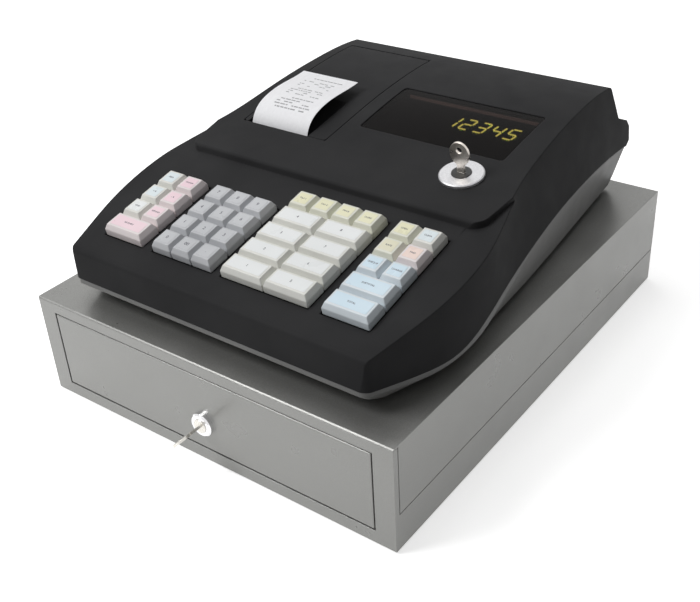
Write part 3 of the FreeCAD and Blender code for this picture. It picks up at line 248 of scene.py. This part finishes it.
def make_materials():
    return {
        "cabinet_paint": paint("cabinet_paint", (0.215, 0.215, 0.205), (0.33, 0.33, 0.32), 0.3),
        "drawer_paint": paint("drawer_paint", (0.25, 0.255, 0.255), (0.36, 0.365, 0.365), 0.42),
        "feet_rubber": rubber("feet_rubber", (0.012, 0.012, 0.012), (0.03, 0.03, 0.03)),
        "till_plastic": moulded("till_plastic", (0.012, 0.012, 0.013), (0.022, 0.022, 0.023), 0.5),
        "lock_chrome": metal("lock_chrome", (0.72, 0.72, 0.73), (0.86, 0.86, 0.87), 0.12),
        "key_steel": metal("key_steel", (0.60, 0.58, 0.54), (0.78, 0.76, 0.71), 0.26,
                           stretch=(1.0, 0.1, 1.0)),
        "latch_steel": metal("latch_steel", (0.45, 0.45, 0.42), (0.62, 0.62, 0.58), 0.35),
        "tub_plastic": moulded("tub_plastic", (0.11, 0.11, 0.108), (0.15, 0.15, 0.147), 0.5),
        "cover_plastic": moulded("cover_plastic", (0.022, 0.022, 0.023), (0.031, 0.031, 0.032),
                                 0.52, edge=0.0014, shine=0.03),
        "window_lens": smoked_lens("window_lens"),
        "board": board("board"),
        "mode_ring": metal("mode_ring", (0.40, 0.40, 0.41), (0.52, 0.52, 0.53), 0.45),
        "mode_key_steel": metal("mode_key_steel", (0.60, 0.55, 0.50), (0.80, 0.76, 0.70), 0.28),
        "printer_frame": moulded("printer_frame", (0.02, 0.02, 0.022), (0.035, 0.035, 0.037), 0.5),
        "platen_rubber": rubber("platen_rubber", (0.02, 0.02, 0.02), (0.04, 0.04, 0.04)),
        "paper": paper("paper", (0.86, 0.86, 0.88)),
        "key_white": moulded("key_white", (0.68, 0.68, 0.64), (0.76, 0.76, 0.72), 0.32),
        "key_grey": moulded("key_grey", (0.46, 0.47, 0.49), (0.55, 0.56, 0.58), 0.32),
        "key_yellow": moulded("key_yellow", (0.68, 0.68, 0.58), (0.76, 0.76, 0.66), 0.32),
        "key_pink": moulded("key_pink", (0.72, 0.66, 0.66), (0.80, 0.73, 0.73), 0.32),
        "key_blue": moulded("key_blue", (0.60, 0.66, 0.70), (0.68, 0.74, 0.78), 0.32),
        "label_yellow": moulded("label_yellow", (0.76, 0.74, 0.50), (0.83, 0.81, 0.58), 0.3),
        "label_beige": moulded("label_beige", (0.70, 0.68, 0.50), (0.78, 0.75, 0.58), 0.3),
        "label_pink": moulded("label_pink", (0.83, 0.62, 0.68), (0.89, 0.70, 0.75), 0.3),
        "label_orange": moulded("label_orange", (0.82, 0.65, 0.58), (0.88, 0.72, 0.65), 0.3),
        "label_blue": moulded("label_blue", (0.56, 0.71, 0.81), (0.64, 0.78, 0.87), 0.3),
        "label_pale": moulded("label_pale", (0.68, 0.76, 0.79), (0.75, 0.82, 0.85), 0.3),
        "label_white": moulded("label_white", (0.76, 0.78, 0.78), (0.84, 0.86, 0.86), 0.3),
        "label_grey": moulded("label_grey", (0.50, 0.51, 0.53), (0.58, 0.59, 0.61), 0.3),
        "legend": moulded("legend", (0.05, 0.05, 0.07), (0.08, 0.08, 0.11), 0.5),
        "print_grey": moulded("print_grey", (0.30, 0.30, 0.31), (0.38, 0.38, 0.39), 0.7),
        "plug_dark": metal("plug_dark", (0.03, 0.03, 0.03), (0.06, 0.06, 0.06), 0.4),
        "lit_segment": glowing("lit_segment", (0.70, 0.95, 0.22), strength=30.0),
    }


materials = make_materials()
for part in record["subparts"]:
    thing = nodes[part["node"]]
    thing.data.materials.clear()
    thing.data.materials.append(materials[part["material_slot"]])


# Keys: softened copies of the caps, each with a thin label on its top and a raised legend

key_edge = 0.00045
merge_distance = 0.000001
flat_angle = math.radians(1.0)
sharp_angle = math.radians(15.0)
top_depth = 0.00002
label_margin = 0.0016
label_thick = 0.00012
label_corner = 0.0008
label_slot = 1
corner_steps = 4
legend_thick = 0.00005
legend_slot = 2
word_size = 0.0021
department_size = 0.0032
digit_size = 0.0042

key_faces = {
    "received": ("RECEIVED", "label_pink"), "void": ("VOID", "label_white"),
    "refund": ("REFUND", "label_pink"), "plus_percent": ("+ %", "label_pale"),
    "minus_percent": ("- %", "label_pink"), "paper_feed": ("FEED", "label_pale"),
    "receipt_on_off": ("ON/OFF", "label_pink"), "point": (".", "label_grey"),
    "tax_1": ("TAX 1", "label_yellow"), "tax_2": ("TAX 2", "label_yellow"),
    "price_look_up": ("PRICE", "label_yellow"), "clerk": ("CLERK", "label_yellow"),
    "cash_total": ("TOTAL", "label_blue"), "subtotal": ("SUBTOTAL", "label_blue"),
    "cheque": ("CHEQUE", "label_blue"), "charge": ("CHARGE", "label_blue"),
    "currency": ("RATE", "label_beige"), "paid_out": ("PAID", "label_orange"),
    "no_sale": ("OPEN", "label_yellow"), "clear": ("CLEAR", "label_pale"),
}


def key_face(name):
    """Legend, label material and letter height of a key."""
    if name in key_faces:
        text, label = key_faces[name]
        return text, label, digit_size if text == "." else word_size
    if name.startswith("department_"):
        return name[-1], "label_white", department_size
    return name, "label_grey", digit_size


def top_of(mesh):
    """Lowest and highest corner of the cap's top, measured right, back and up along the deck."""
    rows = [(v.co.dot(deck_right), v.co.dot(deck_back), v.co.dot(deck_up)) for v in mesh.vertices]
    high = max(row[2] for row in rows)
    flat = [row for row in rows if high - row[2] < top_depth]
    return ([min(row[i] for row in flat) for i in (0, 1)],
            [max(row[i] for row in flat) for i in (0, 1)], high)


def on_deck(right, back, up):
    return deck_right * right + deck_back * back + deck_up * up


def soft_copy(node, radius):
    """The node's mesh in the part's frame, its flat faces merged and its edges rounded."""
    form = bmesh.new()
    form.from_mesh(node.data)
    form.transform(node.matrix_world)
    bmesh.ops.remove_doubles(form, verts=form.verts, dist=merge_distance)
    bmesh.ops.dissolve_limit(form, angle_limit=flat_angle, verts=form.verts, edges=form.edges)
    sharp = [e for e in form.edges if len(e.link_faces) == 2
             and e.calc_face_angle(0.0) > sharp_angle]
    bmesh.ops.bevel(form, geom=sharp, offset=radius, segments=2, profile=0.5, affect="EDGES",
                    clamp_overlap=True)
    return form


def rounded_outline(low, high, corner):
    """Corners of a rounded rectangle, anticlockwise."""
    outline = []
    turns = ((high[0], high[1], 0.0), (low[0], high[1], 90.0), (low[0], low[1], 180.0),
             (high[0], low[1], 270.0))
    for x, y, start in turns:
        cx = x - corner if x == high[0] else x + corner
        cy = y - corner if y == high[1] else y + corner
        for step in range(corner_steps):
            angle = math.radians(start + 90.0 * step / (corner_steps - 1))
            outline.append((cx + corner * math.cos(angle), cy + corner * math.sin(angle)))
    return outline


def add_slab(form, outline, low, high, material_index):
    """A thin slab with that outline on the deck."""
    rings = [[form.verts.new(on_deck(x, y, level)) for x, y in outline] for level in (low, high)]
    faces = [form.faces.new(rings[1]), form.faces.new(rings[0][::-1])]
    count = len(outline)
    for i in range(count):
        j = (i + 1) % count
        faces.append(form.faces.new((rings[0][i], rings[0][j], rings[1][j], rings[1][i])))
    for face in faces:
        face.material_index = material_index


def add_text(form, text, centre, level, size, material_index):
    """Raised letters standing on the deck at that level."""
    curve = bpy.data.curves.new("legend", "FONT")
    curve.body = text
    curve.size = size
    curve.align_x = "CENTER"
    curve.align_y = "CENTER"
    curve.extrude = legend_thick
    curve.resolution_u = 3
    thing = bpy.data.objects.new("legend", curve)
    bpy.context.collection.objects.link(thing)
    bpy.context.view_layer.update()
    mesh = bpy.data.meshes.new_from_object(thing)
    turn = Matrix((deck_right, deck_back, deck_up)).transposed().to_4x4()
    mesh.transform(Matrix.Translation(on_deck(centre[0], centre[1], level)) @ turn)
    for face in mesh.polygons:
        face.material_index = material_index
    form.from_mesh(mesh)
    bpy.data.objects.remove(thing)
    bpy.data.curves.remove(curve)
    bpy.data.meshes.remove(mesh)


def finish_piece(form, name, mats, body):
    """Turn the form into a piece that rides on the body, with those material slots."""
    mesh = bpy.data.meshes.new(name)
    form.normal_update()
    form.to_mesh(mesh)
    form.free()
    for material in mats:
        mesh.materials.append(materials[material])
    piece = bpy.data.objects.new(name, mesh)
    bpy.context.collection.objects.link(piece)
    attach(piece, body)
    return piece


def dress_key(node_name, slot_name):
    """Put the softened, labelled cap in the place of a key's node."""
    name = node_name[len("key_"):]
    text, label, size = key_face(name)
    form = soft_copy(nodes[node_name], key_edge)
    low, high, top = top_of(nodes[node_name].data)
    inner_low = [v + label_margin for v in low]
    inner_high = [v - label_margin for v in high]
    add_slab(form, rounded_outline(inner_low, inner_high, label_corner), top - label_thick,
             top + label_thick, label_slot)
    centre = [(a + b) / 2.0 for a, b in zip(low, high)]
    add_text(form, text, centre, top + label_thick + legend_thick / 2.0, size,
             legend_slot)
    cap = finish_piece(form, "cap_" + name, [slot_name, label, "legend"], node_name)
    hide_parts(node_name)


for part in record["subparts"]:
    if part["node"].startswith("key_"):
        dress_key(part["node"], part["material_slot"])


# Display: five slanted seven-segment digits on the face of the display tube

digit_height = 0.0145
digit_width = 0.0078
digit_pitch = 0.0131
digit_stroke = 0.0014
digit_slant = 0.18
digit_gap = 0.00035
digit_thick = 0.0003
digit_lift = 0.00015
digits_right = 0.0915
digits_back = 0.083
shown_digits = "12345"
tube_below = 0.18
tube_front = 0.05
tube_back = 0.10
tube_upward = 0.9
segment_lines = {
    "a": ((0, 2), (1, 2)), "b": ((1, 1), (1, 2)), "c": ((1, 0), (1, 1)), "d": ((0, 0), (1, 0)),
    "e": ((0, 0), (0, 1)), "f": ((0, 1), (0, 2)), "g": ((0, 1), (1, 1)),
}
lit_segments = {"1": "bc", "2": "abged", "3": "abgcd", "4": "fgbc", "5": "afgcd"}


def tube_face():
    """A point on the front display tube's face, the way back along it and its normal."""
    mesh = nodes["circuit_boards"].data
    best = None
    for face in mesh.polygons:
        centre = face.center
        under = (centre.z < tube_below and centre.x > 0.0
                 and tube_front < centre.y < tube_back)
        upward = face.normal.z > tube_upward
        if under and upward and (best is None or centre.z > best[0].z):
            best = (centre.copy(), face.normal.copy())
    point, normal = best
    back = normal.cross(Vector((1, 0, 0))).normalized()
    return point, back, normal


def add_bar(form, corners, normal, thick):
    """One segment standing on the tube's face."""
    low = [form.verts.new(c) for c in corners]
    high = [form.verts.new(c + normal * thick) for c in corners]
    form.faces.new(high)
    count = len(corners)
    for i in range(count):
        j = (i + 1) % count
        form.faces.new((low[i], low[j], high[j], high[i]))


def make_digits():
    point, back, normal = tube_face()
    form = bmesh.new()
    last = len(shown_digits) - 1

    def place(x, y, column):
        along = digits_right - (last - column) * digit_pitch + x + digit_slant * y
        base = point + back * ((digits_back + y - point.y) / back.y)
        return Vector((along, base.y, base.z)) + normal * digit_lift

    for column, digit in enumerate(shown_digits):
        for name in lit_segments[digit]:
            (x0, y0), (x1, y1) = segment_lines[name]
            a = Vector(((x0 - 0.5) * digit_width, (y0 - 1.0) * digit_height / 2.0))
            b = Vector(((x1 - 0.5) * digit_width, (y1 - 1.0) * digit_height / 2.0))
            way = (b - a).normalized()
            side = Vector((-way.y, way.x)) * digit_stroke / 2.0
            a += way * digit_gap
            b -= way * digit_gap
            inset = way * digit_stroke / 2.0
            outline = (a, a + inset + side, b - inset + side, b, b - inset - side,
                       a + inset - side)
            corners = [place(p.x, p.y, column) for p in outline]
            add_bar(form, corners[::-1], normal, digit_thick)
    bmesh.ops.recalc_face_normals(form, faces=form.faces)
    finish_piece(form, "display_digits", ["lit_segment"], "cabinet")


make_digits()


# Receipt: rows of plain dashes printed down the middle of the paper

print_seed = 7
print_first_row = 0.012
print_last_row = 0.006
print_half = 0.016
print_row_high = 0.0011
print_pitch = 0.0031
print_shortest = 0.0012
print_longest = 0.0055
print_space = 0.0008
print_lift = 0.00004
row_share = 0.8
dash_share = 0.6
ray_start = 0.01


def make_print():
    chance = random.Random(print_seed)
    paper_node = nodes["receipt_paper"]
    tree = BVHTree.FromPolygons([v.co for v in paper_node.data.vertices],
                                [p.vertices for p in paper_node.data.polygons])
    low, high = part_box("receipt_paper")
    middle = (low[0] + high[0]) / 2.0
    form = bmesh.new()
    down = Vector((0, 0, -1))
    y = low[1] + print_first_row
    while y < high[1] - print_last_row:
        if chance.random() < row_share:
            x = middle - print_half
            while x < middle + print_half:
                length = chance.uniform(print_shortest, print_longest)
                if chance.random() < dash_share:
                    corners = []
                    for px, py in ((x, y), (x + length, y), (x + length, y + print_row_high),
                                   (x, y + print_row_high)):
                        hit = tree.ray_cast(Vector((px, py, high[2] + ray_start)), down)
                        corners.append(hit[0] + hit[1] * print_lift)
                    form.faces.new([form.verts.new(c) for c in corners])
                x += length + print_space
        y += print_pitch
    finish_piece(form, "receipt_print", ["print_grey"], "printer_cover")


make_print()


# Mode lock: a dark plug below the key's bow

plug_face_room = 0.0009
mode_joint = next(j for j in frame["joints"] if j["name"] == "mode_key_turn")
mode_axis = Vector(mode_joint["axis"]).normalized()


def darken_plug():
    """Give the faces of the mode key that lie at or below the lock's ring a dark material."""
    mesh = nodes["mode_key"].data
    mesh.materials.append(materials["plug_dark"])
    ring_top = max(v.co.dot(mode_axis) for v in nodes["mode_lock"].data.vertices)
    for face in mesh.polygons:
        if face.center.dot(mode_axis) < ring_top + plug_face_room:
            face.material_index = 1


darken_plug()


# Floor, world and lamps

floor_level = 0.0
floor_half = 6.0
floor_lift = 0.62
floor_color = (0.96, 0.96, 0.96, 1.0)
floor_rough = 0.9
white_color = (1.0, 1.0, 1.0, 1.0)
world_light = 0.17
lamp_aim = (0.0, 0.0, 0.1)
lamps = (
    ("key_lamp", (-0.9, -1.1, 1.5), 0.9, 21.0),
    ("top_lamp", (-0.4, 0.3, 1.7), 1.2, 10.0),
)


def seen_as_white(tree, plain, white):
    """Camera, glossy and transmitted rays meet plain white."""
    path = tree.nodes.new("ShaderNodeLightPath")
    first = tree.nodes.new("ShaderNodeMath")
    first.operation = "MAXIMUM"
    second = tree.nodes.new("ShaderNodeMath")
    second.operation = "MAXIMUM"
    mix = tree.nodes.new("ShaderNodeMixShader")
    tree.links.new(path.outputs["Is Camera Ray"], first.inputs[0])
    tree.links.new(path.outputs["Is Glossy Ray"], first.inputs[1])
    tree.links.new(first.outputs[0], second.inputs[0])
    tree.links.new(path.outputs["Is Transmission Ray"], second.inputs[1])
    tree.links.new(second.outputs[0], mix.inputs[0])
    tree.links.new(plain, mix.inputs[1])
    tree.links.new(white, mix.inputs[2])
    return mix.outputs[0]


def make_floor():
    data = bpy.data.meshes.new("floor")
    h = floor_half
    data.from_pydata([(-h, -h, floor_level), (h, -h, floor_level), (h, h, floor_level),
                      (-h, h, floor_level)], [], [(0, 1, 2, 3)])
    floor = bpy.data.objects.new("floor", data)
    bpy.context.collection.objects.link(floor)
    material = bpy.data.materials.new("floor")
    material.use_nodes = True
    tree = material.node_tree
    bsdf = tree.nodes["Principled BSDF"]
    bsdf.inputs["Base Color"].default_value = floor_color
    bsdf.inputs["Roughness"].default_value = floor_rough
    bsdf.inputs["Specular IOR Level"].default_value = 0.0
    glow = tree.nodes.new("ShaderNodeEmission")
    glow.inputs["Color"].default_value = white_color
    glow.inputs["Strength"].default_value = floor_lift
    both = tree.nodes.new("ShaderNodeAddShader")
    tree.links.new(bsdf.outputs[0], both.inputs[0])
    tree.links.new(glow.outputs[0], both.inputs[1])
    tree.links.new(seen_as_white(tree, bsdf.outputs[0], both.outputs[0]),
                   tree.nodes["Material Output"].inputs["Surface"])
    data.materials.append(material)


def make_world():
    world = bpy.data.worlds.new("world")
    bpy.context.scene.world = world
    world.use_nodes = True
    tree = world.node_tree
    plain = tree.nodes["Background"]
    plain.inputs["Color"].default_value = white_color
    plain.inputs["Strength"].default_value = world_light
    white = tree.nodes.new("ShaderNodeBackground")
    white.inputs["Color"].default_value = white_color
    white.inputs["Strength"].default_value = 1.0
    tree.links.new(seen_as_white(tree, plain.outputs[0], white.outputs[0]),
                   tree.nodes["World Output"].inputs["Surface"])


def add_lamp(name, place, size, watts):
    """A round area lamp turned to the middle of the object."""
    data = bpy.data.lights.new(name, "AREA")
    data.shape = "DISK"
    data.size = size
    data.energy = watts
    light = bpy.data.objects.new(name, data)
    light.location = place
    light.rotation_euler = (Vector(lamp_aim) - Vector(place)).to_track_quat("-Z", "Y").to_euler()
    bpy.context.collection.objects.link(light)


make_camera()
bpy.context.scene.view_settings.view_transform = "Standard"
make_floor()
make_world()
for name, place, size, watts in lamps:
    add_lamp(name, place, size, watts)
